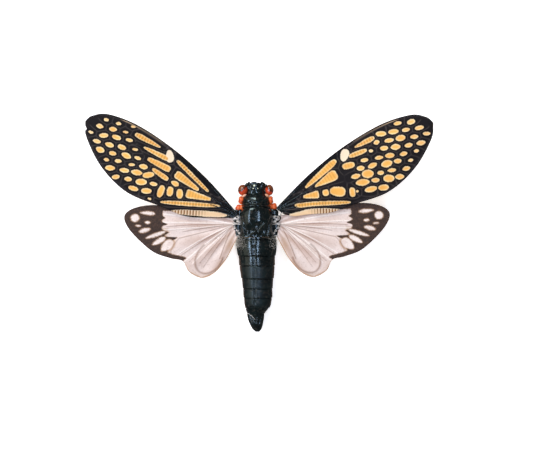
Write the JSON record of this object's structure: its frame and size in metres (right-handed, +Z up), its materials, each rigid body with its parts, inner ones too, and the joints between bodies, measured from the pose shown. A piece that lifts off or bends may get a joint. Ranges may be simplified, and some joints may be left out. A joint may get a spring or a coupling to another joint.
{
  "type": "spread cicada specimen",
  "caption": "Dried cicada lying on its belly with its two pairs of wings spread, forewings dark with amber cells, hindwings milky.",
  "frame": {"origin": "on the surface that the insect lies on, below the middle of its box", "axes": "+Y towards the head, +X towards the tip of the insect's right wings, +Z up, away from the surface that it lies on"},
  "size_m": [0.1107, 0.0693, 0.0134],
  "materials": {
    "black_shell": "gloss",
    "matt_shell": "satin",
    "red_eye": "gloss",
    "orange_lobe": "satin",
    "clear_ocellus": "gloss",
    "amber_wing": "satin",
    "milky_wing": "satin",
    "pale_hinge": "matte"
  },
  "bodies": {
    "root": {"abdomen": "black_shell", "antenna_left": "black_shell", "antenna_right": "black_shell", "beak": "black_shell", "eye_left": "red_eye", "eye_right": "red_eye", "fore_coxa_left": "black_shell", "fore_coxa_right": "black_shell", "fore_femur_left": "black_shell", "fore_femur_right": "black_shell", "fore_tarsus_left": "black_shell", "fore_tarsus_right": "black_shell", "fore_tibia_left": "black_shell", "fore_tibia_right": "black_shell", "forewing_left": "amber_wing", "forewing_right": "amber_wing", "head": "black_shell", "hind_coxa_left": "black_shell", "hind_coxa_right": "black_shell", "hind_femur_left": "black_shell", "hind_femur_right": "black_shell", "hind_tarsus_left": "black_shell", "hind_tarsus_right": "black_shell", "hind_tibia_left": "black_shell", "hind_tibia_right": "black_shell", "hindwing_left": "milky_wing", "hindwing_right": "milky_wing", "mesonotum": "black_shell", "mid_coxa_left": "black_shell", "mid_coxa_right": "black_shell", "mid_femur_left": "black_shell", "mid_femur_right": "black_shell", "mid_tarsus_left": "black_shell", "mid_tarsus_right": "black_shell", "mid_tibia_left": "black_shell", "mid_tibia_right": "black_shell", "ocellus_front": "clear_ocellus", "ocellus_left": "clear_ocellus", "ocellus_right": "clear_ocellus", "operculum_left": "black_shell", "operculum_right": "black_shell", "pronotum": "black_shell", "shoulder_lobe_left": "orange_lobe", "shoulder_lobe_right": "orange_lobe", "tail_capsule": "black_shell", "thorax": "matt_shell", "wing_hinge_left": "pale_hinge", "wing_hinge_right": "pale_hinge"}
  },
  "joints": []
}
